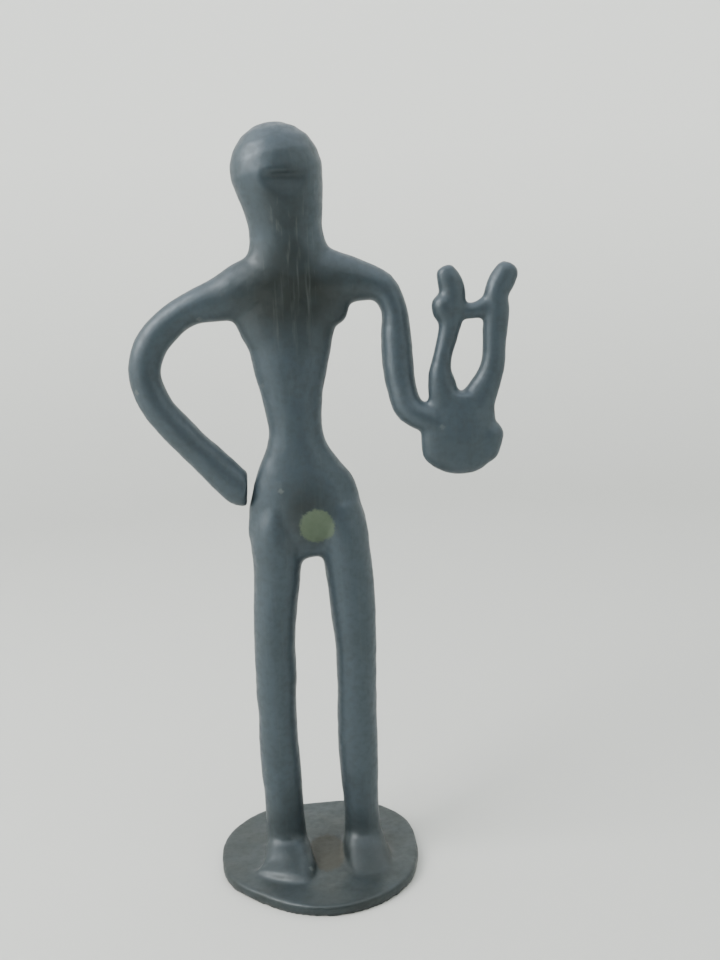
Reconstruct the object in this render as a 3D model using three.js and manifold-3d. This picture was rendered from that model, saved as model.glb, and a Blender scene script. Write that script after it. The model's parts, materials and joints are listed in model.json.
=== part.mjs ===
// A small cast bronze lyre player, standing on a thin round plate. Figure, lyre and plate are one casting.
// Millimetres, +Z up. The origin is the middle of the plate's underside. The figure faces -Y, so its right
// arm, with the hand on the hip, is at -X, and its left arm, with the lyre, is at +X.

import * as THREE from 'three';
import { mergeVertices } from 'three/addons/utils/BufferGeometryUtils.js';
import Module from 'manifold-3d';

// Heights of the figure's landmarks above the table.
const PLATE_TOP = 2.4;
const ANKLE = 14;
const KNEE = 44;
const CROTCH = 70.5;
const HIP = 78.5;
const WAIST = 99;
const ARMPIT = 119.5;
const SHOULDER = 127;
const NECK = 138;
const TEMPLE = 150.2;
const CROWN = 160;

// The plate: a disc with four slight flats in its edge, each at an angle, so deep and so wide.
const PLATE_RADIUS = 23.6;
const PLATE_EDGE = 0.5;
const PLATE_POINTS = 72;
const PLATE_FLATS = [
  { angle: -130, depth: 2.9, spread: 35 },
  { angle: -4, depth: 1.5, spread: 25 },
  { angle: 92, depth: 1.9, spread: 22 },
  { angle: 178, depth: 1.25, spread: 20 },
];

// The lyre hangs a little in front of the body.
const LYRE_Y = -5;
const LYRE_BOX_HALF_DEPTH = 3.3;
const LYRE_BAR_HEIGHT = 121;
const LYRE_BAR_HALF = 1.75;
const LYRE_KNOB_RADIUS = 2.6;

// The right hand is a blunt stump, cut nearly upright beside the hip, so far from it that a narrow gap is left.
const HAND_END_X = -10.6;
const HAND_END_Z = 85.3;
const HAND_END_TILT = -4.8;
const HAND_CUTTER = { width: 10, depth: 12, height: 20 };

// The rounded ends of the arms' sweep, at the hip and inside the lyre.
const HAND_DOME = 4;
const GRIP_DOME = 2;

// The rounded ends of the feet, at heel and toe.
const FOOT_DOME = 1.3;

// How finely the limbs are faceted.
const LIMB_SIDES = 16;
const TRUNK_SIDES = 24;
const THIN_SIDES = 12;
const RING_SPACING = 3;
const THIN_SPACING = 2.2;
const DOME_RINGS = 3;

const BRONZE_COLOUR = 0x4c575c;
const BRONZE_ROUGHNESS = 0.5;
const BRONZE_METALNESS = 0.7;

const Y_AXIS = new THREE.Vector3(0, 1, 0);
const Z_AXIS = new THREE.Vector3(0, 0, 1);

const wasm = await Module();
wasm.setup();

// One station of a limb: its middle, and half its width and half its depth there.
function station(x, y, z, halfWidth, halfDepth) {
  return { middle: new THREE.Vector3(x, y, z), half: new THREE.Vector3(halfWidth, halfDepth, 0) };
}

// One oval ring of a limb, square to the way the limb runs.
function ring(middle, half, run, depthAxis) {
  const width = new THREE.Vector3().crossVectors(run, depthAxis).normalize();
  const depth = new THREE.Vector3().crossVectors(width, run).normalize();
  return { middle, width: width.multiplyScalar(half.x), depth: depth.multiplyScalar(half.y) };
}

// Rings that shrink to a point over the length of a rounded end. A length of 0 leaves the end flat.
function domeRings(middle, half, run, depthAxis, length) {
  const rings = [];
  for (let i = 1; i <= DOME_RINGS && length !== 0; i++) {
    const angle = (i / (DOME_RINGS + 1)) * (Math.PI / 2);
    const shifted = middle.clone().addScaledVector(run, length * Math.sin(angle));
    rings.push(ring(shifted, half.clone().multiplyScalar(Math.cos(angle)), run, depthAxis));
  }
  const tip = middle.clone().addScaledVector(run, length);
  rings.push({ middle: tip, width: new THREE.Vector3(), depth: new THREE.Vector3() });
  return rings;
}

// A closed limb along a smooth line through its stations, with oval sections.
// The unit shape is a turned column with one ring for each section, bent to its place afterwards.
function limb(stations, options = {}) {
  const {
    sides = LIMB_SIDES, spacing = RING_SPACING, depthAxis = Y_AXIS, startDome = 0, endDome = 0,
  } = options;
  const middles = new THREE.CatmullRomCurve3(stations.map((s) => s.middle), false, 'catmullrom');
  const halves = new THREE.CatmullRomCurve3(stations.map((s) => s.half), false, 'catmullrom');
  const spans = stations.length - 1;
  const places = [0];
  for (let i = 0; i < spans; i++) {
    const gap = stations[i].middle.distanceTo(stations[i + 1].middle);
    const steps = Math.max(1, Math.round(gap / spacing));
    for (let k = 1; k <= steps; k++) places.push((i + k / steps) / spans);
  }
  const body = places.map((t) => ring(middles.getPoint(t), halves.getPoint(t), middles.getTangent(t), depthAxis));
  const start = domeRings(middles.getPoint(0), halves.getPoint(0), middles.getTangent(0), depthAxis, -startDome);
  const end = domeRings(middles.getPoint(1), halves.getPoint(1), middles.getTangent(1), depthAxis, endDome);
  const rings = [...start.reverse(), ...body, ...end];
  const lastRing = rings.length - 1;
  const profile = rings.map((_, i) => new THREE.Vector2(i === 0 || i === lastRing ? 0 : 1, i));
  const column = welded(new THREE.LatheGeometry(profile, sides));
  const points = column.attributes.position;
  for (let i = 0; i < points.count; i++) {
    const { middle, width, depth } = rings[Math.round(points.getY(i))];
    const p = middle.clone().addScaledVector(width, points.getX(i)).addScaledVector(depth, points.getZ(i));
    points.setXYZ(i, p.x, p.y, p.z);
  }
  return solid(column);
}

// A geometry with its shared corners joined and its empty triangles left out.
function welded(geometry) {
  geometry.deleteAttribute('normal');
  geometry.deleteAttribute('uv');
  const merged = mergeVertices(geometry);
  const corners = merged.index.array;
  const kept = [];
  for (let i = 0; i < corners.length; i += 3) {
    const [a, b, c] = corners.slice(i, i + 3);
    if (a !== b && b !== c && c !== a) kept.push(a, b, c);
  }
  merged.setIndex(kept);
  return merged;
}

// A welded geometry as a solid that can be joined and cut.
function solid(geometry) {
  const vertProperties = new Float32Array(geometry.attributes.position.array);
  const triVerts = new Uint32Array(geometry.index.array);
  return new wasm.Manifold(new wasm.Mesh({ numProp: 3, vertProperties, triVerts }));
}

// The joined solid as a geometry again.
function geometryOf(joined) {
  const mesh = joined.getMesh();
  const geometry = new THREE.BufferGeometry();
  geometry.setAttribute('position', new THREE.BufferAttribute(mesh.vertProperties, 3));
  geometry.setIndex(new THREE.BufferAttribute(mesh.triVerts, 1));
  geometry.computeVertexNormals();
  return geometry;
}

// Pelvis, waist, chest, neck and head, from the crotch up.
function trunk() {
  return limb([
    station(2.2, 0.5, CROTCH + 1.7, 9.0, 3.4),
    station(1.75, 0.6, HIP - 3, 12.65, 5.1),
    station(1.5, 0.6, HIP + 1.5, 12.25, 6.0),
    station(1.3, 0.5, HIP + 6, 11.4, 5.8),
    station(0.8, 0.3, HIP + 9.5, 10.0, 5.3),
    station(0.6, 0.1, WAIST - 7.5, 8.0, 4.8),
    station(0.45, 0, WAIST - 4, 6.25, 4.5),
    station(0.35, 0, WAIST, 5.65, 4.3),
    station(0.2, 0, WAIST + 6, 6.45, 4.4),
    station(0.2, 0, WAIST + 12, 7.7, 4.8),
    station(0.35, 0, ARMPIT - 3.5, 8.95, 5.0),
    station(0.1, 0, ARMPIT, 10.6, 4.9),
    station(0.6, 0, SHOULDER - 3.5, 12.6, 4.6),
    station(1.0, 0, SHOULDER + 1, 11.0, 4.8),
    station(1.2, 0.2, NECK - 5, 8.8, 5.3),
    station(0.95, 0.3, NECK, 7.5, 5.9),
    station(0.75, 0.3, NECK + 4.5, 8.0, 7.0),
    station(0.35, 0.3, NECK + 8.5, 8.8, 7.9),
    station(-0.2, 0.3, TEMPLE, 9.4, 8.3),
  ], { sides: TRUNK_SIDES, startDome: 2.2, endDome: CROWN - TEMPLE });
}

// Both arms and the shoulders in one sweep, from the hand on the hip to the hand in the lyre.
function armsAndShoulders() {
  const rightArm = [
    station(-12.35, 0, 86.0, 3.6, 2.9),
    station(-17.6, 0, 92.0, 3.6, 3.1),
    station(-22.1, 0, 97.0, 3.4, 3.2),
    station(-27.5, 0, 103.8, 3.4, 3.2),
    station(-29.8, 0, 110.5, 3.35, 3.2),
    station(-28.4, 0, 116.3, 3.45, 3.2),
    station(-24.3, 0, 121.0, 3.4, 3.2),
    station(-19.3, 0, 124.0, 3.4, 3.3),
    station(-13.1, 0, 125.5, 4.7, 3.8),
  ];
  const shoulders = [
    station(-6.5, 0, 127.5, 6.2, 4.5),
    station(1.0, 0, 127.9, 6.8, 4.8),
    station(8.0, 0, 128.8, 6.3, 4.5),
  ];
  const leftArm = [
    station(14.4, 0, 128.0, 4.6, 3.9),
    station(19.85, -0.2, 126.35, 3.25, 3.3),
    station(22.2, -0.5, 122.0, 2.75, 3.1),
    station(22.4, -1.0, 117.0, 3.1, 3.1),
    station(22.4, -1.8, 111.0, 3.3, 3.2),
    station(22.9, -2.9, 105.3, 3.1, 3.1),
    station(24.4, -4.2, 101.1, 3.1, 3.0),
    station(27.6, LYRE_Y, 99.0, 2.75, 2.7),
    station(32.0, LYRE_Y, 97.2, 2.6, 2.6),
  ];
  const sweep = limb([...rightArm, ...shoulders, ...leftArm], { startDome: HAND_DOME, endDome: GRIP_DOME });
  const cutter = new THREE.BoxGeometry(HAND_CUTTER.width, HAND_CUTTER.depth, HAND_CUTTER.height);
  cutter.translate(HAND_CUTTER.width / 2, 0, 0);
  cutter.rotateY(THREE.MathUtils.degToRad(-HAND_END_TILT));
  cutter.translate(HAND_END_X, 0, HAND_END_Z);
  return sweep.subtract(solid(welded(cutter)));
}

// The leg below the hand on the hip, from inside the plate up into the pelvis.
function rightLeg() {
  return limb([
    station(-7.1, 0.3, PLATE_TOP - 1.4, 4.5, 4.4),
    station(-7.25, 0.2, ANKLE, 4.3, 4.3),
    station(-7.45, 0.2, ANKLE + 10, 4.45, 4.5),
    station(-7.45, 0.3, KNEE - 10, 4.25, 4.6),
    station(-7.2, 0, KNEE, 4.5, 4.6),
    station(-6.9, 0, KNEE + 9.5, 4.55, 4.9),
    station(-6.05, 0.2, CROTCH - 9, 4.8, 5.1),
    station(-5.2, 0.3, CROTCH - 1.5, 5.25, 5.4),
    station(-4.9, 0.4, CROTCH + 5, 5.7, 5.7),
    station(-4.0, 0.5, CROTCH + 11, 5.2, 5.2),
  ]);
}

// The leg below the lyre.
function leftLeg() {
  return limb([
    station(10.1, 0.3, PLATE_TOP - 1.4, 4.3, 4.4),
    station(9.95, 0.2, ANKLE, 4.0, 4.2),
    station(10.0, 0.2, ANKLE + 13, 4.45, 4.5),
    station(10.35, 0.1, KNEE - 4, 4.4, 4.6),
    station(10.65, 0, KNEE + 5, 4.5, 4.7),
    station(10.5, 0, KNEE + 13, 4.95, 4.9),
    station(10.3, 0.2, CROTCH - 6.5, 5.05, 5.1),
    station(9.8, 0.3, CROTCH - 0.5, 5.25, 5.4),
    station(9.3, 0.4, CROTCH + 5, 5.3, 5.7),
    station(8.0, 0.5, CROTCH + 11, 5.2, 5.2),
  ]);
}

// The foot below the hand on the hip: a wedge from behind the heel to a slanting toe edge, sunk in the plate.
function rightFoot() {
  return foot([
    station(-7.2, 3.4, 3.4, 4.3, 3.0),
    station(-7.1, -1.5, 4.4, 4.9, 4.0),
    station(-6.9, -5.0, 3.6, 5.4, 3.1),
    station(-7.1, -8.0, 3.0, 6.0, 2.2),
    station(-8.2, -10.6, 2.6, 6.4, 1.5),
  ]);
}

// The foot below the lyre, narrower and lower.
function leftFoot() {
  return foot([
    station(10.1, 3.4, 3.4, 4.2, 3.0),
    station(10.2, -1.5, 4.3, 4.6, 3.9),
    station(10.6, -5.0, 3.4, 4.8, 2.9),
    station(11.0, -8.5, 2.5, 4.6, 1.9),
    station(11.3, -11.0, 2.1, 4.0, 1.1),
  ]);
}

// A foot runs forwards, so its stations give half the width and half the height.
function foot(stations) {
  return limb(stations, { depthAxis: Z_AXIS, startDome: FOOT_DOME, endDome: FOOT_DOME });
}

// The lyre: a rounded sound box with a bulge low on its far side, two horned arms, and a crossbar with a knob.
function lyre() {
  const thin = { sides: THIN_SIDES, spacing: THIN_SPACING };
  const box = limb([
    station(35.1, LYRE_Y, 103.2, 7.0, 2.6),
    station(34.7, LYRE_Y, 99.0, 7.3, 3.1),
    station(34.1, LYRE_Y, 95.0, 8.0, LYRE_BOX_HALF_DEPTH),
    station(33.5, LYRE_Y, 91.6, 7.5, 3.0),
  ], { spacing: THIN_SPACING, startDome: 1.4, endDome: 4.4 });
  const bulge = limb([
    station(39.4, LYRE_Y, 92.3, 3.4, 2.5),
    station(40.0, LYRE_Y, 95.2, 3.6, 2.6),
  ], { ...thin, startDome: 3.2, endDome: 3.2 });
  const innerArm = limb([
    station(31.7, LYRE_Y, 101.0, 3.6, 2.5),
    station(30.95, LYRE_Y, 106.0, 3.0, 2.4),
    station(30.75, LYRE_Y, 109.0, 2.35, 2.2),
    station(31.45, LYRE_Y, 112.2, 2.0, 2.1),
    station(32.5, LYRE_Y, 115.9, 2.1, 2.1),
    station(33.2, LYRE_Y, 119.0, 2.45, 2.2),
    station(33.8, LYRE_Y, 122.5, 2.7, 2.3),
    station(33.75, LYRE_Y, 125.4, 2.65, 2.2),
    station(33.0, LYRE_Y, 127.8, 2.4, 2.0),
    station(32.35, LYRE_Y, 129.1, 1.9, 1.7),
  ], { ...thin, endDome: 0.8 });
  const outerArm = limb([
    station(38.2, LYRE_Y, 102.0, 3.9, 2.5),
    station(40.45, LYRE_Y, 106.35, 2.95, 2.4),
    station(41.75, LYRE_Y, 109.8, 2.55, 2.2),
    station(42.1, LYRE_Y, 113.0, 2.45, 2.1),
    station(42.4, LYRE_Y, 117.0, 2.65, 2.2),
    station(42.85, LYRE_Y, 120.4, 2.7, 2.3),
    station(42.8, LYRE_Y, 123.8, 2.55, 2.2),
    station(44.05, LYRE_Y, 126.5, 2.75, 2.1),
    station(45.15, LYRE_Y, 128.4, 2.45, 1.9),
  ], { ...thin, endDome: 1.7 });
  const bar = limb([
    station(32.0, LYRE_Y, LYRE_BAR_HEIGHT - 0.3, LYRE_BAR_HALF, LYRE_BAR_HALF),
    station(38.4, LYRE_Y, LYRE_BAR_HEIGHT - 0.25, LYRE_BAR_HALF, LYRE_BAR_HALF),
    station(41.0, LYRE_Y, LYRE_BAR_HEIGHT + 0.5, LYRE_BAR_HALF + 0.7, LYRE_BAR_HALF),
    station(43.0, LYRE_Y, LYRE_BAR_HEIGHT + 0.6, LYRE_BAR_HALF + 0.8, LYRE_BAR_HALF),
  ], thin);
  const knob = limb([
    station(31.9, LYRE_Y, LYRE_BAR_HEIGHT, LYRE_KNOB_RADIUS, LYRE_KNOB_RADIUS),
    station(31.9, LYRE_Y, LYRE_BAR_HEIGHT + 0.8, LYRE_KNOB_RADIUS, LYRE_KNOB_RADIUS),
  ], { ...thin, startDome: LYRE_KNOB_RADIUS, endDome: LYRE_KNOB_RADIUS });
  return box.add(bulge).add(innerArm).add(outerArm).add(bar).add(knob);
}

// The round plate, with its slight flats and a softened edge.
function plate() {
  const reach = PLATE_RADIUS - PLATE_EDGE;
  const outline = [];
  for (let i = 0; i < PLATE_POINTS; i++) {
    const angle = (i / PLATE_POINTS) * 360;
    let radius = reach;
    for (const flat of PLATE_FLATS) {
      const away = THREE.MathUtils.euclideanModulo(angle - flat.angle + 180, 360) - 180;
      radius -= flat.depth * Math.exp(-((away / flat.spread) ** 2));
    }
    const turn = THREE.MathUtils.degToRad(angle);
    outline.push(new THREE.Vector2(radius * Math.cos(turn), radius * Math.sin(turn)));
  }
  const disc = new THREE.ExtrudeGeometry(new THREE.Shape(outline), {
    depth: PLATE_TOP - 2 * PLATE_EDGE,
    bevelThickness: PLATE_EDGE,
    bevelSize: PLATE_EDGE,
    bevelSegments: 2,
  });
  disc.translate(0, 0, PLATE_EDGE);
  return solid(welded(disc));
}

const casting = trunk()
  .add(armsAndShoulders())
  .add(rightLeg())
  .add(leftLeg())
  .add(rightFoot())
  .add(leftFoot())
  .add(lyre())
  .add(plate());

const bronze = new THREE.MeshStandardMaterial({
  color: BRONZE_COLOUR,
  roughness: BRONZE_ROUGHNESS,
  metalness: BRONZE_METALNESS,
});
const figure = new THREE.Mesh(geometryOf(casting), bronze);
figure.name = 'lyre_player';

const statue = new THREE.Group();
statue.add(figure);

export default statue;
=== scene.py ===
"""Looks of a small cast bronze lyre player that stands on a thin round plate.

Figure, lyre and plate are one casting, so they are one piece. Its limbs are drawn out ring by ring,
joined into one skin and eased where they meet, as in the wax that such a casting starts from. Then come
the unevenness of the surface, the small marks on it and its dark patina, which carries some painted
sheen and painted shade.
Sizes are in millimetres, and become metres where they reach a mesh.
"""

import json
import logging
import math
from dataclasses import dataclass, field
from enum import Enum
from typing import Callable

import bpy
import numpy as np
from mathutils import Matrix, Vector

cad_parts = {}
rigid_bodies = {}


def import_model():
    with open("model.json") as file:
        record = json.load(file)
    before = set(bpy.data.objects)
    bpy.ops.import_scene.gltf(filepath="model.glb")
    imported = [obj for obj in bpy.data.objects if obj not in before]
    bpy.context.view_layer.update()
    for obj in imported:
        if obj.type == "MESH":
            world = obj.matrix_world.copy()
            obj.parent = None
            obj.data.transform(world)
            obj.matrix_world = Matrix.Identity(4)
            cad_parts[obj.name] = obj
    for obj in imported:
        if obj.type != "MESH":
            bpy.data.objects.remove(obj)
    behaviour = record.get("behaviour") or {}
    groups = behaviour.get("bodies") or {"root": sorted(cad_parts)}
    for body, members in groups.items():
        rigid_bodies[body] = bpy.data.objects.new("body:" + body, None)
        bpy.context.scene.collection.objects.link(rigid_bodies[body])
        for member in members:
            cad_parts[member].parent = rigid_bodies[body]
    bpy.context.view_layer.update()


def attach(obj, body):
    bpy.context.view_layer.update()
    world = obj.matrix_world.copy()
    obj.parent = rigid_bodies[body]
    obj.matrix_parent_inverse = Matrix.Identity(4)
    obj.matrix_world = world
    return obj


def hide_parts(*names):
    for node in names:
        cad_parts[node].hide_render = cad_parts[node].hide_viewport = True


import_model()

MM = 0.001
BODY = "root"
NODE = "lyre_player"

log = logging.getLogger("lyre_player")


def metres(x: float, y: float, z: float) -> Vector:
    """Returns a point given in millimetres as a vector in metres."""
    return Vector((x, y, z)) * MM


class Bench:
    """The workbench: what is picked up, which mesh is open, and what is done to it."""

    @staticmethod
    def clear() -> None:
        """Closes any open mesh and deselects every object."""
        if bpy.context.mode != "OBJECT":
            bpy.ops.object.mode_set(mode="OBJECT")
        bpy.ops.object.select_all(action="DESELECT")

    @staticmethod
    def pick(piece: bpy.types.Object, *others: bpy.types.Object) -> None:
        """Selects a piece, with any others, and makes it the active one.

        Args:
            piece: The piece that operators act on.
            others: Further pieces, such as those that are joined to it.
        """
        Bench.clear()
        for one in (piece, *others):
            one.select_set(True)
        bpy.context.view_layer.objects.active = piece

    @staticmethod
    def places(piece: bpy.types.Object) -> np.ndarray:
        """Returns the places of a piece's vertices in millimetres, one row each."""
        flat = np.empty(len(piece.data.vertices) * 3)
        piece.data.vertices.foreach_get("co", flat)
        return flat.reshape(-1, 3) / MM

    @staticmethod
    def open(piece: bpy.types.Object, chosen: np.ndarray) -> None:
        """Opens a piece's mesh in edit mode with the chosen vertices selected.

        Args:
            piece: The piece to open.
            chosen: True for each vertex that is selected.
        """
        Bench.pick(piece)
        mesh = piece.data
        bpy.context.tool_settings.mesh_select_mode = (True, False, False)
        mesh.polygons.foreach_set("select", np.zeros(len(mesh.polygons), bool))
        mesh.edges.foreach_set("select", np.zeros(len(mesh.edges), bool))
        mesh.vertices.foreach_set("select", chosen)
        bpy.ops.object.mode_set(mode="EDIT")

    @staticmethod
    def apply(piece: bpy.types.Object, kind: str, **settings: object) -> None:
        """Adds a modifier to a piece and applies it.

        Args:
            piece: The piece to change.
            kind: Blender's name for the modifier's type.
            settings: The modifier's settings by name.
        """
        Bench.pick(piece)
        modifier = piece.modifiers.new(kind.title(), kind)
        for name, value in settings.items():
            setattr(modifier, name, value)
        bpy.ops.object.modifier_apply(modifier=modifier.name)

    @staticmethod
    def join(pieces: list[bpy.types.Object], name: str) -> bpy.types.Object:
        """Joins pieces into the first one, at the origin.

        Args:
            pieces: The pieces to join.
            name: The joined piece's name.

        Returns:
            The joined piece.
        """
        Bench.pick(*pieces)
        bpy.ops.object.join()
        whole = bpy.context.view_layer.objects.active
        bpy.ops.object.transform_apply(location=True, rotation=True, scale=True)
        whole.name = whole.data.name = name
        return whole


class Heading(Enum):
    """Which way a limb mainly runs, and so how its rings lie before they lean."""

    UP = "up"
    FORWARD = "forward"


@dataclass(frozen=True)
class Station:
    """One oval section of a limb: its middle, and half its width and depth, in millimetres."""

    x: float
    y: float
    z: float
    half_width: float
    half_depth: float

    def row(self) -> np.ndarray:
        """Returns the station's five numbers in a row."""
        return np.array([self.x, self.y, self.z, self.half_width, self.half_depth])


@dataclass(frozen=True)
class Ring:
    """One ring of a limb's skin, in metres, leaning by an angle in the limb's own plane."""

    middle: Vector
    half_width: float
    half_depth: float
    lean: float


@dataclass(frozen=True)
class Ease:
    """A place where limbs meet in a soft hollow: its middle and its reach in millimetres."""

    x: float
    y: float
    z: float
    reach: float


@dataclass
class Limb:
    """A closed limb with oval sections along a smooth line through its stations."""

    name: str
    stations: list[Station]
    heading: Heading = Heading.UP
    sides: int = 32
    spacing: float = 1.6
    start_dome: float = 0.0
    end_dome: float = 0.0
    dome_rings: int = 5

    def rings(self) -> list[Ring]:
        """Returns the limb's rings from its first end to its last, domed ends included."""
        rows = [station.row() for station in self.stations]
        rows = [2 * rows[0] - rows[1], *rows, 2 * rows[-1] - rows[-2]]
        points = []
        for before, start, end, after in zip(rows, rows[1:], rows[2:], rows[3:]):
            gap = float(np.linalg.norm(end[:3] - start[:3]))
            steps = max(1, round(gap / self.spacing))
            for step in range(steps):
                points.append(self._between(before, start, end, after, step / steps))
        points.append(rows[-2])
        table = np.array(points)
        runs = np.gradient(table[:, :3], axis=0)
        rings = [self._ring(row, run) for row, run in zip(table, runs)]
        start_cap = self._dome(table[0], runs[0], -self.start_dome)
        end_cap = self._dome(table[-1], runs[-1], self.end_dome)
        return [*reversed(start_cap), *rings, *end_cap]

    @staticmethod
    def _between(
        before: np.ndarray, start: np.ndarray, end: np.ndarray, after: np.ndarray, share: float
    ) -> np.ndarray:
        """Returns a row on the smooth curve from start to end, with the rows either side guiding it."""
        straight = end - before
        bow = 2 * before - 5 * start + 4 * end - after
        twist = 3 * start - before - 3 * end + after
        return 0.5 * (2 * start + straight * share + bow * share**2 + twist * share**3)

    def _ring(self, row: np.ndarray, run: np.ndarray) -> Ring:
        """Returns the ring at a row of five numbers, square to the way the limb runs there."""
        if self.heading is Heading.UP:
            lean = math.atan2(run[0], run[2])
        else:
            lean = math.atan2(run[0], -run[1])
        return Ring(metres(*row[:3]), row[3] * MM, row[4] * MM, lean)

    def _dome(self, row: np.ndarray, run: np.ndarray, length: float) -> list[Ring]:
        """Returns rings that close an end over a length in millimetres, or none for a flat end."""
        if not length:
            return []
        way = run / np.linalg.norm(run)
        rings = []
        for angle in np.linspace(0, math.pi / 2, self.dome_rings + 1)[1:]:
            middle = row[:3] + way * length * math.sin(angle)
            halves = row[3:] * max(math.cos(angle), 0.04)
            rings.append(self._ring(np.concatenate([middle, halves]), run))
        return rings

    def build(self) -> bpy.types.Object:
        """Draws the limb out of a filled circle, ring by ring, and returns it."""
        rings = self.rings()
        first = rings[0]
        upright = self.heading is Heading.UP
        Bench.clear()
        bpy.ops.mesh.primitive_circle_add(
            vertices=self.sides,
            radius=1.0,
            fill_type="NGON",
            location=first.middle,
            rotation=(0.0 if upright else math.pi / 2, 0.0, 0.0),
        )
        limb = bpy.context.active_object
        limb.name = self.name
        bpy.ops.object.mode_set(mode="EDIT")
        self._stretch(first.half_width, first.half_depth, first.middle)
        self._turn(first.lean, first.middle)
        for last, ring in zip(rings, rings[1:]):
            bpy.ops.mesh.extrude_region_move(TRANSFORM_OT_translate={"value": ring.middle - last.middle})
            self._turn(-last.lean, ring.middle)
            width_share = ring.half_width / last.half_width
            depth_share = ring.half_depth / last.half_depth
            self._stretch(width_share, depth_share, ring.middle)
            self._turn(ring.lean, ring.middle)
        bpy.ops.mesh.select_all(action="SELECT")
        bpy.ops.mesh.normals_make_consistent(inside=False)
        bpy.ops.object.mode_set(mode="OBJECT")
        bpy.ops.object.transform_apply(location=True, rotation=True, scale=True)
        return limb

    def _stretch(self, width: float, depth: float, middle: Vector) -> None:
        """Scales the open ring, lying flat, by its width and its depth."""
        value = (width, depth, 1.0) if self.heading is Heading.UP else (width, 1.0, depth)
        bpy.ops.transform.resize(value=value, center_override=middle)

    def _turn(self, angle: float, middle: Vector) -> None:
        """Leans the open ring by an angle. With no window the operator turns the other way."""
        axis = "Y" if self.heading is Heading.UP else "Z"
        bpy.ops.transform.rotate(value=-angle, orient_axis=axis, center_override=middle)


@dataclass(frozen=True)
class Landmarks:
    """Heights of the figure's landmarks above the table, in millimetres."""

    plate_top: float = 2.4
    ankle: float = 14.0
    knee: float = 44.0
    crotch: float = 70.5
    hip: float = 78.5
    waist: float = 99.0
    armpit: float = 119.5
    shoulder: float = 127.0
    neck: float = 138.0
    temple: float = 150.2
    crown: float = 159.9


@dataclass
class Trunk:
    """Pelvis, waist, chest, neck and head, in one sweep from the crotch up."""

    marks: Landmarks
    sides: int = 48
    bottom_dome: float = 2.2
    face_width: float = 10.0
    face_x: float = 1.7
    face_turn: float = 8.0
    face_lean: float = 9.0
    face_top: float = 149.0
    face_length: float = 26.0
    face_front: float = -6.35

    def stations(self) -> list[Station]:
        """Returns the sections of the trunk and head."""
        marks = self.marks
        return [
            Station(2.2, 0.5, marks.crotch + 1.7, 9.0, 3.4),
            Station(1.75, 0.6, marks.hip - 3.0, 12.65, 5.1),
            Station(1.5, 0.6, marks.hip + 1.5, 12.25, 6.0),
            Station(1.3, 0.5, marks.hip + 6.0, 11.4, 5.8),
            Station(0.8, 0.3, marks.hip + 9.5, 10.0, 5.3),
            Station(0.6, 0.1, marks.waist - 7.5, 8.0, 4.8),
            Station(0.45, 0.0, marks.waist - 4.0, 6.25, 4.5),
            Station(0.35, 0.0, marks.waist, 5.65, 4.3),
            Station(0.2, 0.0, marks.waist + 6.0, 6.45, 4.4),
            Station(0.2, 0.0, marks.waist + 12.0, 7.7, 4.8),
            Station(0.35, 0.0, marks.armpit - 3.5, 8.95, 5.0),
            Station(0.1, 0.0, marks.armpit, 10.6, 4.9),
            Station(0.6, 0.0, marks.shoulder - 3.5, 12.6, 4.6),
            Station(1.0, 0.0, marks.shoulder + 1.0, 11.0, 4.8),
            Station(1.2, 0.2, marks.neck - 5.0, 8.8, 5.3),
            Station(0.95, 0.3, marks.neck, 7.5, 5.9),
            Station(0.75, 0.3, marks.neck + 4.5, 8.0, 7.0),
            Station(0.35, 0.3, marks.neck + 8.5, 8.8, 7.9),
            Station(-0.2, 0.3, marks.temple, 9.4, 8.3),
        ]

    def build(self) -> bpy.types.Object:
        """Builds the trunk with its head, and cuts the plain face plane into it."""
        trunk = Limb(
            "trunk",
            self.stations(),
            sides=self.sides,
            start_dome=self.bottom_dome,
            end_dome=self.marks.crown - self.marks.temple,
        ).build()
        cutter = self._face_cutter()
        Bench.apply(trunk, "BOOLEAN", operation="DIFFERENCE", object=cutter, solver="EXACT")
        bpy.data.objects.remove(cutter)
        return trunk

    def _face_cutter(self) -> bpy.types.Object:
        """Returns a block whose back makes the flat, featureless face below the brow."""
        depth = 8.0
        Bench.clear()
        bpy.ops.mesh.primitive_cube_add(size=1.0)
        cutter = bpy.context.active_object
        bpy.ops.object.mode_set(mode="EDIT")
        bpy.ops.transform.resize(value=(self.face_width * MM, depth * MM, self.face_length * MM))
        bpy.ops.transform.translate(value=metres(0, -depth / 2, -self.face_length / 2))
        bpy.ops.object.mode_set(mode="OBJECT")
        cutter.location = metres(self.face_x, self.face_front, self.face_top)
        cutter.rotation_euler = (math.radians(-self.face_lean), 0.0, math.radians(self.face_turn))
        Bench.pick(cutter)
        bpy.ops.object.transform_apply(location=True, rotation=True, scale=True)
        return cutter

    def eases(self) -> list[Ease]:
        """Returns the soft hollows at the neck and the crotch."""
        marks = self.marks
        return [
            Ease(-7.6, 0.0, marks.shoulder + 5.0, 8.0),
            Ease(9.8, 0.0, marks.shoulder + 7.0, 8.0),
            Ease(1.0, -5.0, marks.shoulder + 3.0, 8.0),
            Ease(1.0, 5.0, marks.shoulder + 3.0, 8.0),
            Ease(2.6, 0.5, marks.crotch, 9.0),
            Ease(-6.0, 0.5, marks.crotch + 3.0, 8.0),
            Ease(10.0, 0.5, marks.crotch + 3.0, 8.0),
        ]


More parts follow.
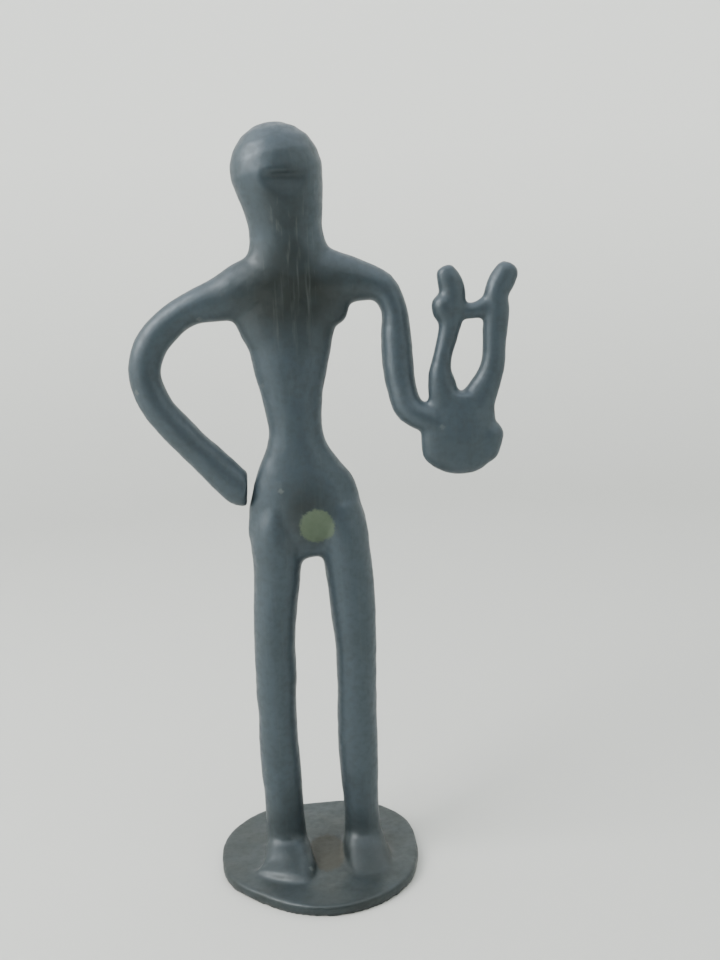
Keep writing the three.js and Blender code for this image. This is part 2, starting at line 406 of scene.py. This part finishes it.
@dataclass
class Arms:
    """Both arms and the shoulders, from the hand on the hip to the hand in the lyre."""

    lyre_y: float
    hand_end_x: float = -11.1
    hand_end_z: float = 85.3
    hand_end_tilt: float = -4.8
    hand_shift: float = 0.55
    hand_shift_reach: float = 6.0
    hand_dome: float = 4.0

    def stations(self) -> list[Station]:
        """Returns the sections along the right arm, the shoulders and the left arm."""
        right_arm = [
            Station(-12.35, 0.0, 86.0, 3.6, 2.9),
            Station(-17.6, 0.0, 92.0, 3.6, 3.1),
            Station(-22.1, 0.0, 97.0, 3.4, 3.2),
            Station(-27.5, 0.0, 103.8, 3.4, 3.2),
            Station(-29.8, 0.0, 110.5, 3.35, 3.2),
            Station(-28.4, 0.0, 116.3, 3.45, 3.2),
            Station(-24.3, 0.0, 121.0, 3.4, 3.2),
            Station(-19.3, 0.0, 124.0, 3.4, 3.3),
            Station(-13.1, 0.0, 125.5, 4.7, 3.8),
        ]
        shoulders = [
            Station(-6.5, 0.0, 127.5, 6.2, 4.5),
            Station(1.0, 0.0, 127.9, 6.8, 4.8),
            Station(8.0, 0.0, 128.8, 6.3, 4.5),
        ]
        left_arm = [
            Station(14.4, 0.0, 128.0, 4.6, 3.9),
            Station(19.85, -0.2, 126.35, 3.25, 3.3),
            Station(22.2, -0.5, 122.0, 2.75, 3.1),
            Station(22.4, -1.0, 117.0, 3.1, 3.1),
            Station(22.4, -1.8, 111.0, 3.3, 3.2),
            Station(22.9, -2.9, 105.3, 3.1, 3.1),
            Station(24.4, -4.2, 101.1, 3.1, 3.0),
            Station(27.6, self.lyre_y, 99.0, 2.75, 2.7),
            Station(32.0, self.lyre_y, 97.2, 2.6, 2.6),
        ]
        return [*right_arm, *shoulders, *left_arm]

    def build(self) -> bpy.types.Object:
        """Builds the sweep and trims the stump of the right hand nearly upright beside the hip."""
        arms = Limb("arms", self.stations(), start_dome=self.hand_dome, end_dome=2.0).build()
        Bench.open(arms, self._near_hand(arms))
        bpy.ops.mesh.select_more()
        tilt = math.radians(self.hand_end_tilt)
        bpy.ops.mesh.bisect(
            plane_co=metres(self.hand_end_x, 0, self.hand_end_z),
            plane_no=(math.cos(tilt), 0.0, math.sin(tilt)),
            use_fill=True,
            clear_outer=True,
        )
        Bench.clear()
        return arms

    def settle_hand(self, casting: bpy.types.Object) -> None:
        """Moves the stump back to its narrow gap beside the hip, which the joining would have filled."""
        places = Bench.places(casting)
        inner = places[:, 0] + (places[:, 2] - self.hand_end_z) * math.tan(math.radians(self.hand_end_tilt))
        hand = (places[:, 2] > 79) & (places[:, 2] < 93) & (inner < self.hand_end_x + 0.35)
        away = np.clip((self.hand_end_x - inner) / self.hand_shift_reach, 0.0, 1.0)
        places[hand, 0] += self.hand_shift * (1.0 - away[hand]) ** 2
        casting.data.vertices.foreach_set("co", (places * MM).ravel())
        casting.data.update()

    def _near_hand(self, arms: bpy.types.Object) -> np.ndarray:
        """Returns which vertices lie in the forearm and hand."""
        places = Bench.places(arms)
        return (places[:, 0] < 0) & (places[:, 2] < 95)

    def eases(self) -> list[Ease]:
        """Returns the soft hollows under the arms."""
        return [Ease(-12.5, 0.0, 121.0, 9.0), Ease(14.0, 0.0, 123.0, 9.0)]


@dataclass
class Leg:
    """A leg from inside the plate up into the pelvis, with its foot."""

    name: str
    stations: list[Station]
    foot: list[Station]
    ankle_x: float
    toe_dome: float = 1.5

    def build(self) -> list[bpy.types.Object]:
        """Builds the leg and its foot."""
        leg = Limb(self.name, self.stations).build()
        foot = Limb(
            self.name + "_foot",
            self.foot,
            heading=Heading.FORWARD,
            spacing=1.0,
            start_dome=self.toe_dome,
            end_dome=self.toe_dome,
        ).build()
        return [leg, foot]

    def eases(self) -> list[Ease]:
        """Returns the soft hollow round the ankle."""
        return [
            Ease(self.ankle_x, -2.0, 5.0, 9.0),
            Ease(self.ankle_x, -5.0, 6.5, 7.0),
        ]


def right_leg(marks: Landmarks) -> Leg:
    """Returns the leg below the hand on the hip."""
    stations = [
        Station(-7.1, 0.3, marks.plate_top - 1.4, 4.5, 4.4),
        Station(-7.25, 0.2, marks.ankle, 4.3, 4.3),
        Station(-7.45, 0.2, marks.ankle + 10.0, 4.45, 4.5),
        Station(-7.45, 0.3, marks.knee - 10.0, 4.25, 4.6),
        Station(-7.2, 0.0, marks.knee, 4.5, 4.6),
        Station(-6.9, 0.0, marks.knee + 9.5, 4.55, 4.9),
        Station(-6.05, 0.2, marks.crotch - 9.0, 4.8, 5.1),
        Station(-5.2, 0.3, marks.crotch - 1.5, 5.25, 5.4),
        Station(-4.9, 0.4, marks.crotch + 5.0, 5.7, 5.7),
        Station(-4.0, 0.5, marks.crotch + 11.0, 5.2, 5.2),
    ]
    foot = [
        Station(-7.2, 3.4, 3.4, 4.3, 3.0),
        Station(-7.1, -1.5, 4.4, 4.9, 4.0),
        Station(-6.9, -5.0, 3.6, 5.4, 3.1),
        Station(-7.1, -8.0, 3.0, 6.0, 2.2),
        Station(-8.2, -10.6, 2.6, 6.4, 1.5),
    ]
    return Leg("right_leg", stations, foot, ankle_x=-7.2)


def left_leg(marks: Landmarks) -> Leg:
    """Returns the leg below the lyre."""
    stations = [
        Station(10.1, 0.3, marks.plate_top - 1.4, 4.3, 4.4),
        Station(9.95, 0.2, marks.ankle, 4.0, 4.2),
        Station(10.0, 0.2, marks.ankle + 13.0, 4.45, 4.5),
        Station(10.35, 0.1, marks.knee - 4.0, 4.4, 4.6),
        Station(10.65, 0.0, marks.knee + 5.0, 4.5, 4.7),
        Station(10.5, 0.0, marks.knee + 13.0, 4.95, 4.9),
        Station(10.3, 0.2, marks.crotch - 6.5, 5.05, 5.1),
        Station(9.8, 0.3, marks.crotch - 0.5, 5.25, 5.4),
        Station(9.3, 0.4, marks.crotch + 5.0, 5.3, 5.7),
        Station(8.0, 0.5, marks.crotch + 11.0, 5.2, 5.2),
    ]
    foot = [
        Station(10.1, 3.4, 3.4, 4.2, 3.0),
        Station(10.2, -1.5, 4.3, 4.6, 3.9),
        Station(10.6, -5.0, 3.4, 4.8, 2.9),
        Station(11.0, -8.5, 2.5, 4.6, 1.9),
        Station(11.3, -11.0, 2.1, 4.0, 1.1),
    ]
    return Leg("left_leg", stations, foot, ankle_x=10.1)


@dataclass
class Lyre:
    """The lyre: a rounded sound box, two horned arms, a crossbar and the knob at its end."""

    y: float = -5.0
    bar_height: float = 121.0
    bar_half: float = 1.75
    knob_radius: float = 2.6
    box_half_depth: float = 3.3
    thin_sides: int = 24
    thin_spacing: float = 1.2

    def build(self) -> list[bpy.types.Object]:
        """Builds the lyre's parts where they meet."""
        arms = [self._inner_arm(), self._outer_arm()]
        return [self._box(), self._cheek(), *arms, self._bar(), self._knob()]

    def _box(self) -> bpy.types.Object:
        """Returns the sound box."""
        stations = [
            Station(35.1, self.y, 103.2, 7.0, 2.6),
            Station(34.7, self.y, 99.0, 7.3, 3.1),
            Station(34.1, self.y, 95.0, 8.0, self.box_half_depth),
            Station(33.5, self.y, 91.6, 7.5, 3.0),
        ]
        return Limb("lyre_box", stations, spacing=self.thin_spacing, start_dome=1.4, end_dome=4.4).build()

    def _cheek(self) -> bpy.types.Object:
        """Returns the bulge low on the sound box, on the side away from the figure."""
        stations = [
            Station(39.4, self.y, 92.3, 3.4, 2.5),
            Station(40.0, self.y, 95.2, 3.6, 2.6),
        ]
        return self._thin("lyre_cheek", stations, 3.2, 3.2)

    def _inner_arm(self) -> bpy.types.Object:
        """Returns the horned arm next to the figure."""
        stations = [
            Station(31.7, self.y, 101.0, 3.6, 2.5),
            Station(30.95, self.y, 106.0, 3.0, 2.4),
            Station(30.75, self.y, 109.0, 2.35, 2.2),
            Station(31.45, self.y, 112.2, 2.0, 2.1),
            Station(32.5, self.y, 115.9, 2.1, 2.1),
            Station(33.2, self.y, 119.0, 2.45, 2.2),
            Station(33.8, self.y, 122.5, 2.7, 2.3),
            Station(33.75, self.y, 125.4, 2.65, 2.2),
            Station(33.0, self.y, 127.8, 2.4, 2.0),
            Station(32.35, self.y, 129.1, 1.9, 1.7),
        ]
        return self._thin("lyre_inner_arm", stations, 0.0, 0.8)

    def _outer_arm(self) -> bpy.types.Object:
        """Returns the horned arm away from the figure."""
        stations = [
            Station(38.2, self.y, 102.0, 3.9, 2.5),
            Station(40.45, self.y, 106.35, 2.95, 2.4),
            Station(41.75, self.y, 109.8, 2.55, 2.2),
            Station(42.1, self.y, 113.0, 2.45, 2.1),
            Station(42.4, self.y, 117.0, 2.65, 2.2),
            Station(42.85, self.y, 120.4, 2.7, 2.3),
            Station(42.8, self.y, 123.8, 2.55, 2.2),
            Station(44.05, self.y, 126.5, 2.75, 2.1),
            Station(45.15, self.y, 128.4, 2.45, 1.9),
        ]
        return self._thin("lyre_outer_arm", stations, 0.0, 1.7)

    def _bar(self) -> bpy.types.Object:
        """Returns the crossbar between the arms, which thickens towards the outer one."""
        middle, half = self.bar_height, self.bar_half
        stations = [
            Station(32.0, self.y, middle - 0.3, half, half),
            Station(38.4, self.y, middle - 0.25, half, half),
            Station(41.0, self.y, middle + 0.5, half + 0.7, half),
            Station(43.0, self.y, middle + 0.6, half + 0.8, half),
        ]
        return self._thin("lyre_bar", stations, 0.0, 0.0)

    def _knob(self) -> bpy.types.Object:
        """Returns the knob where the crossbar passes the inner arm."""
        radius = self.knob_radius
        stations = [
            Station(31.9, self.y, self.bar_height, radius, radius),
            Station(31.9, self.y, self.bar_height + 0.8, radius, radius),
        ]
        return self._thin("lyre_knob", stations, radius, radius)

    def _thin(self, name: str, stations: list[Station], start_dome: float, end_dome: float) -> bpy.types.Object:
        """Returns a thin limb of the lyre, finely ringed."""
        return Limb(
            name,
            stations,
            sides=self.thin_sides,
            spacing=self.thin_spacing,
            start_dome=start_dome,
            end_dome=end_dome,
        ).build()

    def eases(self) -> list[Ease]:
        """Returns the soft hollows where the lyre's parts and the forearm meet."""
        return [
            Ease(27.8, self.y, 101.5, 4.5),
            Ease(29.0, self.y, 97.5, 5.0),
            Ease(31.3, self.y, 103.5, 4.0),
            Ease(39.5, self.y, 104.5, 4.0),
            Ease(35.0, self.y, self.bar_height, 3.0),
            Ease(40.6, self.y, self.bar_height + 0.5, 3.0),
            Ease(31.6, self.y, self.bar_height, 4.0),
        ]


@dataclass(frozen=True)
class Flat:
    """A slight flat in the plate's round edge: at an angle, so deep and so wide, in degrees and millimetres."""

    angle: float
    depth: float
    spread: float


@dataclass
class Plate:
    """The thin round plate that the figure is cast on."""

    radius: float = 23.6
    thickness: float = 2.4
    edge: float = 0.55
    points: int = 180
    flats: tuple[Flat, ...] = (
        Flat(-130.0, 2.9, 35.0),
        Flat(-4.0, 1.5, 25.0),
        Flat(92.0, 1.9, 22.0),
        Flat(178.0, 1.25, 20.0),
    )

    def build(self) -> bpy.types.Object:
        """Builds the disc, softens its rims and presses its slight flats in."""
        Bench.clear()
        bpy.ops.mesh.primitive_circle_add(vertices=self.points, radius=self.radius * MM, fill_type="NGON")
        plate = bpy.context.active_object
        plate.name = "plate"
        bpy.ops.object.mode_set(mode="EDIT")
        bpy.ops.mesh.extrude_region_move(TRANSFORM_OT_translate={"value": (0, 0, self.thickness * MM)})
        bpy.ops.mesh.select_all(action="SELECT")
        bpy.ops.mesh.normals_make_consistent(inside=False)
        bpy.ops.mesh.select_all(action="DESELECT")
        bpy.ops.object.mode_set(mode="OBJECT")
        Bench.apply(
            plate, "BEVEL", width=self.edge * MM, segments=4, limit_method="ANGLE", angle_limit=math.radians(60)
        )
        for vertex in plate.data.vertices:
            angle = math.degrees(math.atan2(vertex.co.y, vertex.co.x))
            share = self.reach(angle) / self.radius
            vertex.co.x *= share
            vertex.co.y *= share
        return plate

    def reach(self, angle: float) -> float:
        """Returns the distance from the plate's middle to its edge at an angle in degrees."""
        reach = self.radius
        for flat in self.flats:
            away = (angle - flat.angle + 180.0) % 360.0 - 180.0
            reach -= flat.depth * math.exp(-((away / flat.spread) ** 2))
        return reach


@dataclass(frozen=True)
class Unevenness:
    """A soft waviness of the cast surface: how wide its swells are and how high, in millimetres."""

    width: float
    height: float


@dataclass
class Casting:
    """The whole statuette: its parts joined into one skin, eased and made uneven."""

    marks: Landmarks = field(default_factory=Landmarks)
    voxel: float = 0.457
    ease_rounds: int = 45
    polish_rounds: int = 4
    swells: tuple[Unevenness, ...] = (Unevenness(7.0, 0.35), Unevenness(2.2, 0.10))

    def build(self) -> bpy.types.Object:
        """Builds the casting and returns its one piece."""
        lyre = Lyre()
        trunk = Trunk(self.marks)
        arms = Arms(lyre.y)
        legs = [right_leg(self.marks), left_leg(self.marks)]
        plate = Plate()
        parts = [trunk.build(), arms.build(), plate.build(), *lyre.build()]
        eases = [*trunk.eases(), *arms.eases(), *lyre.eases()]
        for leg in legs:
            parts.extend(leg.build())
            eases.extend(leg.eases())
        for part in parts:
            log.info("part %s: %d vertices", part.name, len(part.data.vertices))
        casting = Bench.join(parts, "lyre_player_casting")
        Bench.apply(casting, "REMESH", mode="VOXEL", voxel_size=self.voxel * MM)
        log.info("skin: %d vertices", len(casting.data.vertices))
        self._ease(casting, eases)
        self._polish(casting)
        arms.settle_hand(casting)
        self._swell(casting)
        self._flatten_underside(casting)
        Bench.pick(casting)
        bpy.ops.object.shade_smooth()
        return casting

    def _ease(self, casting: bpy.types.Object, eases: list[Ease]) -> None:
        """Smooths the skin in the hollows where limbs meet, most in the middle of each."""
        places = Bench.places(casting)
        weights = np.zeros(len(places))
        for ease in eases:
            away = np.linalg.norm(places - np.array([ease.x, ease.y, ease.z]), axis=1)
            share = np.clip(1.0 - away / ease.reach, 0.0, 1.0)
            weights = np.maximum(weights, share * share * (3.0 - 2.0 * share))
        group = casting.vertex_groups.new(name="eased")
        for index in np.flatnonzero(weights > 0.01):
            group.add([int(index)], float(weights[index]), "REPLACE")
        Bench.apply(casting, "SMOOTH", factor=0.5, iterations=self.ease_rounds, vertex_group=group.name)
        casting.vertex_groups.clear()

    def _polish(self, casting: bpy.types.Object) -> None:
        """Takes the last unevenness of the remesh out of the whole skin."""
        Bench.open(casting, np.ones(len(casting.data.vertices), bool))
        bpy.ops.mesh.vertices_smooth(factor=0.5, repeat=self.polish_rounds)
        Bench.clear()

    def _swell(self, casting: bpy.types.Object) -> None:
        """Gives the skin the soft waviness of a hand-made casting."""
        for number, swell in enumerate(self.swells):
            texture = bpy.data.textures.new(f"swell_{number}", "CLOUDS")
            texture.noise_scale = swell.width * MM
            texture.noise_depth = 1
            Bench.apply(
                casting,
                "DISPLACE",
                texture=texture,
                texture_coords="LOCAL",
                mid_level=0.5,
                strength=swell.height * MM,
            )

    def _flatten_underside(self, casting: bpy.types.Object) -> None:
        """Presses the plate's underside flat on the table."""
        Bench.open(casting, Bench.places(casting)[:, 2] < 0.3)
        bpy.ops.transform.resize(value=(1.0, 1.0, 0.0), center_override=(0.0, 0.0, 0.0))
        Bench.clear()


class Reading:
    """A value that changes over the surface. Arithmetic on it adds Math nodes."""

    def __init__(self, tree: bpy.types.NodeTree, socket: bpy.types.NodeSocket) -> None:
        """Wraps a socket.

        Args:
            tree: The node tree that the socket is in.
            socket: The output that gives the value.
        """
        self.tree = tree
        self.socket = socket

    def math(self, operation: str, *values: "Reading | float", clamp: bool = False) -> "Reading":
        """Returns the result of a Math node on some values.

        Args:
            operation: The Math node's operation.
            values: Its inputs in order, readings or plain numbers.
            clamp: Whether the result is kept between 0 and 1.

        Returns:
            The node's result.
        """
        node = self.tree.nodes.new("ShaderNodeMath")
        node.operation = operation
        node.use_clamp = clamp
        for slot, value in zip(node.inputs, values):
            if isinstance(value, Reading):
                self.tree.links.new(value.socket, slot)
            else:
                slot.default_value = value
        return Reading(self.tree, node.outputs[0])

    def __add__(self, other: "Reading | float") -> "Reading":
        """Returns self + other."""
        return self.math("ADD", self, other)

    def __radd__(self, other: float) -> "Reading":
        """Returns other + self."""
        return self.math("ADD", other, self)

    def __sub__(self, other: "Reading | float") -> "Reading":
        """Returns self - other."""
        return self.math("SUBTRACT", self, other)

    def __rsub__(self, other: float) -> "Reading":
        """Returns other - self."""
        return self.math("SUBTRACT", other, self)

    def __mul__(self, other: "Reading | float") -> "Reading":
        """Returns self * other."""
        return self.math("MULTIPLY", self, other)

    def __rmul__(self, other: float) -> "Reading":
        """Returns other * self."""
        return self.math("MULTIPLY", other, self)

    def __truediv__(self, other: "Reading | float") -> "Reading":
        """Returns self / other."""
        return self.math("DIVIDE", self, other)

    def __pow__(self, power: float) -> "Reading":
        """Returns self to a power."""
        return self.math("POWER", self, power)

    def clamped(self) -> "Reading":
        """Returns the value kept between 0 and 1."""
        return self.math("ADD", self, 0.0, clamp=True)

    def between(self, low: float, high: float) -> "Reading":
        """Returns 0 up to low, 1 from high, and a straight rise between them."""
        return ((self - low) / (high - low)).clamped()


Colour = tuple[float, float, float]


class Recipe:
    """A material whose nodes are being put together."""

    def __init__(self, name: str) -> None:
        """Starts an empty material.

        Args:
            name: The material's name.
        """
        self.material = bpy.data.materials.new(name)
        self.material.use_nodes = True
        self.tree = self.material.node_tree
        self.tree.nodes.clear()
        self.place = self.node("ShaderNodeTexCoord", {}, {}, "Object")
        split = self.tree.nodes.new("ShaderNodeSeparateXYZ")
        self.tree.links.new(self.place.socket, split.inputs[0])
        self.x, self.y, self.z = (Reading(self.tree, out) / MM for out in split.outputs)

    def node(
        self,
        kind: str,
        settings: dict[str, object],
        sockets: dict[str | int, object],
        output: str | int = 0,
    ) -> Reading:
        """Adds a node.

        Args:
            kind: The node's type.
            settings: Its settings by name, set first. Stops are pairs of a place and a colour of a ramp.
            sockets: Values, readings or colours for its inputs.
            output: The output to give back.

        Returns:
            The chosen output.
        """
        node = self.tree.nodes.new(kind)
        for name, value in settings.items():
            if name == "stops":
                self._set_stops(node.color_ramp, value)
            else:
                setattr(node, name, value)
        for name, value in sockets.items():
            slot = node.inputs[name]
            if isinstance(value, Reading):
                self.tree.links.new(value.socket, slot)
            else:
                slot.default_value = value
        return Reading(self.tree, node.outputs[output])

    @staticmethod
    def _set_stops(ramp: bpy.types.ColorRamp, stops: list[tuple[float, float]]) -> None:
        """Sets a ramp's stops, each a place and a grey level."""
        while len(ramp.elements) < len(stops):
            ramp.elements.new(0.5)
        for element, (place, level) in zip(ramp.elements, stops):
            element.position = place
            element.color = (level, level, level, 1.0)

    def noise(
        self, width: float, detail: float = 2.0, roughness: float = 0.5, stretch: float = 1.0
    ) -> Reading:
        """Returns soft noise between about 0.3 and 0.7.

        Args:
            width: How wide its patches are, in millimetres.
            detail: How many finer layers it has.
            roughness: How strong the finer layers are.
            stretch: How many times longer than wide its patches are, upwards.

        Returns:
            The noise.
        """
        scale = 1.0 / (width * MM)
        shape = self.node(
            "ShaderNodeMapping",
            {"vector_type": "POINT"},
            {"Vector": self.place, "Scale": (scale, scale, scale / stretch)},
        )
        sockets = {"Vector": shape, "Scale": 1.0, "Detail": detail, "Roughness": roughness}
        return self.node("ShaderNodeTexNoise", {"noise_dimensions": "3D"}, sockets, 0)

    def ball(self, x: float, y: float, z: float, radii: Colour) -> Reading:
        """Returns the distance from a point as a share of its reach each way: 0 at it and 1 at its edge.

        Args:
            x: The point's place in millimetres.
            y: The same.
            z: The same.
            radii: Its reach along X, Y and Z in millimetres.

        Returns:
            The distance as a share.
        """
        square = ((self.x - x) / radii[0]) ** 2 + ((self.y - y) / radii[1]) ** 2 + ((self.z - z) / radii[2]) ** 2
        return square ** 0.5

    def finish(self, sockets: dict[str, object]) -> None:
        """Ends the material with a Principled shader.

        Args:
            sockets: The shader's inputs by name.
        """
        shader = self.node("ShaderNodeBsdfPrincipled", {}, sockets)
        output = self.tree.nodes.new("ShaderNodeOutputMaterial")
        self.tree.links.new(shader.socket, output.inputs["Surface"])

    def tint(self, under: "Reading | Colour", over: "Reading | Colour", share: Reading) -> Reading:
        """Returns one colour laid over another by a share from 0 to 1."""
        sockets: dict[str | int, object] = {0: share}
        for slot, colour in ((6, under), (7, over)):
            sockets[slot] = colour if isinstance(colour, Reading) else (*colour, 1.0)
        return self.node("ShaderNodeMix", {"data_type": "RGBA"}, sockets, 2)


@dataclass(frozen=True)
class Patina:
    """Dark patina of an old cast bronze, with painted light in it: grey-blue on the limbs, partly a painted bluish
    sheen; green-black down the middle, partly painted shade.
    """

    # Grey-blue of the limbs: partly the patina's own tone, partly a painted bluish sheen.
    slate_and_sheen: Colour = (0.038, 0.054, 0.066)
    # Green-black: the patina's own tone and, where the middle mask lays it, painted shade.
    dark: Colour = (0.016, 0.021, 0.020)
    worn: Colour = (0.110, 0.125, 0.118)
    verdigris: Colour = (0.062, 0.088, 0.052)
    earth: Colour = (0.036, 0.034, 0.024)
    metallic: float = 0.30
    roughness: float = 0.46
    grain: float = 0.25

    def material(self) -> bpy.types.Material:
        """Returns the patina's material."""
        recipe = Recipe("patinated_bronze")
        cloud = recipe.noise(9.0, detail=4.0, roughness=0.55).between(0.38, 0.66)
        mottle = recipe.noise(1.3, detail=3.0).between(0.42, 0.70)
        # Painted shade and the patina's green-black on the chest, face and belly, darker towards the bottom, over
        # the painted grey-blue sheen of the limbs.
        shade = (self._dark_middle_and_shade(recipe) + cloud * 0.30 - 0.15).clamped()
        colour = recipe.tint(self.slate_and_sheen, self.dark, shade)
        colour = recipe.tint(colour, self.dark, mottle * 0.25)

        streaks = recipe.noise(0.7, detail=2.0, stretch=26.0).between(0.56, 0.72)
        front = 1.0 - recipe.ball(1.0, -6.0, 130.0, (7.0, 6.0, 18.0)).between(0.6, 1.0)
        colour = recipe.tint(colour, self.worn, streaks * (0.05 + front * 0.20))

        edge = recipe.node("ShaderNodeNewGeometry", {}, {}, "Pointiness").between(0.53, 0.60)
        rub = recipe.noise(2.5, detail=3.0).between(0.35, 0.6)
        colour = recipe.tint(colour, self.worn, edge * rub * 0.5)

        crumbs = recipe.noise(0.55, detail=3.0, roughness=0.7)
        patch = 1.0 - recipe.ball(3.7, -6.0, 77.6, (5.2, 5.0, 5.6)).between(0.55, 1.0)
        green = (patch * 1.5 + crumbs - 1.0).between(0.25, 0.6)
        colour = recipe.tint(colour, self.verdigris, green * 0.85)

        soil = 1.0 - recipe.ball(1.6, -2.0, 2.4, (6.0, 10.5, 1.6)).between(0.6, 1.0)
        brown = (soil * 1.3 + crumbs - 1.0).between(0.2, 0.6)
        colour = recipe.tint(colour, self.earth, brown * 0.8)

        dull = (green + brown).clamped()
        rough = self.roughness + (mottle - 0.5) * 0.10 + dull * 0.3
        height = recipe.noise(0.5, detail=3.0) * 0.6 + streaks * 0.4 + crumbs * dull * 1.5
        bump = recipe.node("ShaderNodeBump", {}, {"Strength": self.grain, "Distance": 0.06 * MM, "Height": height})
        recipe.finish(
            {
                "Base Color": colour,
                "Roughness": rough,
                "Metallic": self.metallic * (1.0 - dull * 0.8),
                "Normal": bump,
            }
        )
        return recipe.material

    @staticmethod
    def _dark_middle_and_shade(recipe: Recipe) -> Reading:
        """Returns how green-black the surface is: most on the chest, the face and the belly, where it is partly
        the patina and partly painted shade for the dark their front faces reflect, and darker towards the bottom
        at the feet and the plate.
        """
        chest = 1.0 - recipe.ball(1.0, -3.0, 125.0, (19.0, 14.0, 13.0)).between(0.35, 1.0)
        face = 1.0 - recipe.ball(1.5, -8.0, 143.0, (7.0, 9.0, 14.0)).between(0.4, 1.0)
        belly = 1.0 - recipe.ball(1.5, -8.0, 80.0, (9.0, 8.0, 12.0)).between(0.4, 1.0)
        feet = 1.0 - recipe.z.between(2.0, 22.0)
        return (chest + face * 0.5 + belly * 0.8 + feet * 0.8).clamped()


@dataclass
class Studio:
    """A pale floor that sweeps up into pale walls all round, soft light from the left, and the camera."""

    floor_radius: float = 420.0
    sweep_radius: float = 250.0
    wall_height: float = 800.0
    sweep_steps: int = 15
    # The floor's colour is darker than the wall's as painted shade.
    floor_colour_and_shade: Colour = (0.52, 0.52, 0.49)
    wall_colour: Colour = (0.82, 0.82, 0.78)
    room_colour: Colour = (0.90, 0.95, 1.0)
    room_strength: float = 2.4
    key_place: tuple[float, float, float] = (-430.0, -180.0, 420.0)
    key_size: float = 380.0
    key_power: float = 5.0
    flag_distance: float = 380.0
    flag_size: tuple[float, float] = (520.0, 520.0)
    camera_back: float = 209.3
    camera_height: float = 123.2
    camera_yaw: float = -3.67
    camera_pitch: float = 9.98
    camera_roll: float = 2.96
    lens: float = 37.5
    sensor: float = 36.0

    def build(self) -> None:
        """Sets up the camera, the backdrop and the light."""
        self._camera()
        self._backdrop()
        self._flag()
        self._key()
        self._room()

    def _camera(self) -> None:
        """Stands the camera where the photograph was taken from."""
        bpy.ops.object.camera_add(location=metres(0, -self.camera_back, self.camera_height))
        camera = bpy.context.active_object
        camera.name = "camera"
        camera.data.sensor_width = self.sensor
        camera.data.lens = self.lens
        camera.data.clip_start = 0.01
        turn = Matrix.Rotation(math.radians(self.camera_yaw), 4, "Z")
        tip = Matrix.Rotation(math.radians(90.0 - self.camera_pitch), 4, "X")
        roll = Matrix.Rotation(math.radians(-self.camera_roll), 4, "Z")
        camera.rotation_euler = (turn @ tip @ roll).to_euler()
        bpy.context.scene.camera = camera

    def _backdrop(self) -> None:
        """Lays a round floor whose edge sweeps up into a wall, seen from inside."""
        Bench.clear()
        bpy.ops.mesh.primitive_circle_add(vertices=128, radius=self.floor_radius * MM, fill_type="NGON")
        backdrop = bpy.context.active_object
        backdrop.name = "pale_backdrop"
        bpy.ops.object.mode_set(mode="EDIT")
        reach, height = self.floor_radius, 0.0
        for wide, high in [*self._sweep(), (self.floor_radius + self.sweep_radius, self.wall_height)]:
            bpy.ops.mesh.extrude_region_move(TRANSFORM_OT_translate={"value": metres(0, 0, high - height)})
            bpy.ops.transform.resize(value=(wide / reach, wide / reach, 1.0), center_override=metres(0, 0, high))
            reach, height = wide, high
        bpy.ops.mesh.delete(type="ONLY_FACE")
        bpy.ops.object.mode_set(mode="OBJECT")
        bpy.ops.object.shade_smooth()
        recipe = Recipe("pale_paper")
        # Painted shade: the floor is coloured darker than the wall for the less light that reaches it, and turns
        # into the wall's colour up the sweep.
        colour = recipe.tint(self.floor_colour_and_shade, self.wall_colour, recipe.z.between(0.0, self.sweep_radius))
        recipe.finish({"Base Color": colour, "Roughness": 1.0, "Specular IOR Level": 0.0})
        backdrop.data.materials.append(recipe.material)

    def _sweep(self) -> list[tuple[float, float]]:
        """Returns the radius and height of each ring from the floor up into the wall."""
        rings = []
        for step in range(1, self.sweep_steps + 1):
            angle = math.pi / 2 * step / self.sweep_steps
            wide = self.floor_radius + self.sweep_radius * math.sin(angle)
            rings.append((wide, self.sweep_radius * (1.0 - math.cos(angle))))
        return rings

    def _flag(self) -> None:
        """Hangs a black flag behind the camera, which only darkens what the front reflects."""
        Bench.clear()
        bpy.ops.mesh.primitive_plane_add(size=1.0)
        flag = bpy.context.active_object
        flag.name = "black_flag"
        flag.scale = (self.flag_size[0] * MM, self.flag_size[1] * MM, 1.0)
        flag.rotation_euler = (math.pi / 2, 0.0, 0.0)
        flag.location = metres(0, -self.flag_distance, 100)
        recipe = Recipe("black_cloth")
        recipe.finish({"Base Color": (0.01, 0.01, 0.01, 1.0), "Roughness": 1.0, "Specular IOR Level": 0.0})
        flag.data.materials.append(recipe.material)
        flag.visible_camera = False
        flag.visible_diffuse = False
        flag.visible_shadow = False

    def _key(self) -> None:
        """Adds the large soft light at the left."""
        place = metres(*self.key_place)
        bpy.ops.object.light_add(type="AREA", location=place)
        key = bpy.context.active_object
        key.name = "key"
        key.data.size = self.key_size * MM
        key.data.energy = self.key_power
        key.visible_camera = False
        aim = metres(0, 0, 80) - place
        key.rotation_euler = aim.to_track_quat("-Z", "Y").to_euler()

    def _room(self) -> None:
        """Fills the room with pale light from above."""
        world = bpy.data.worlds.new("pale_room")
        world.use_nodes = True
        background = world.node_tree.nodes["Background"]
        background.inputs["Color"].default_value = (*self.room_colour, 1.0)
        background.inputs["Strength"].default_value = self.room_strength
        bpy.context.scene.world = world


def main() -> None:
    """Builds the studio and the statuette, and hands the piece to the frame."""
    logging.basicConfig(level=logging.INFO, format="%(message)s")
    Studio().build()
    casting = Casting().build()
    casting.data.materials.append(Patina().material())
    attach(casting, BODY)
    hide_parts(NODE)
    triangles = sum(len(face.vertices) - 2 for face in casting.data.polygons)
    log.info("piece %s: %d triangles", casting.name, triangles)


if __name__ == "__main__":
    main()
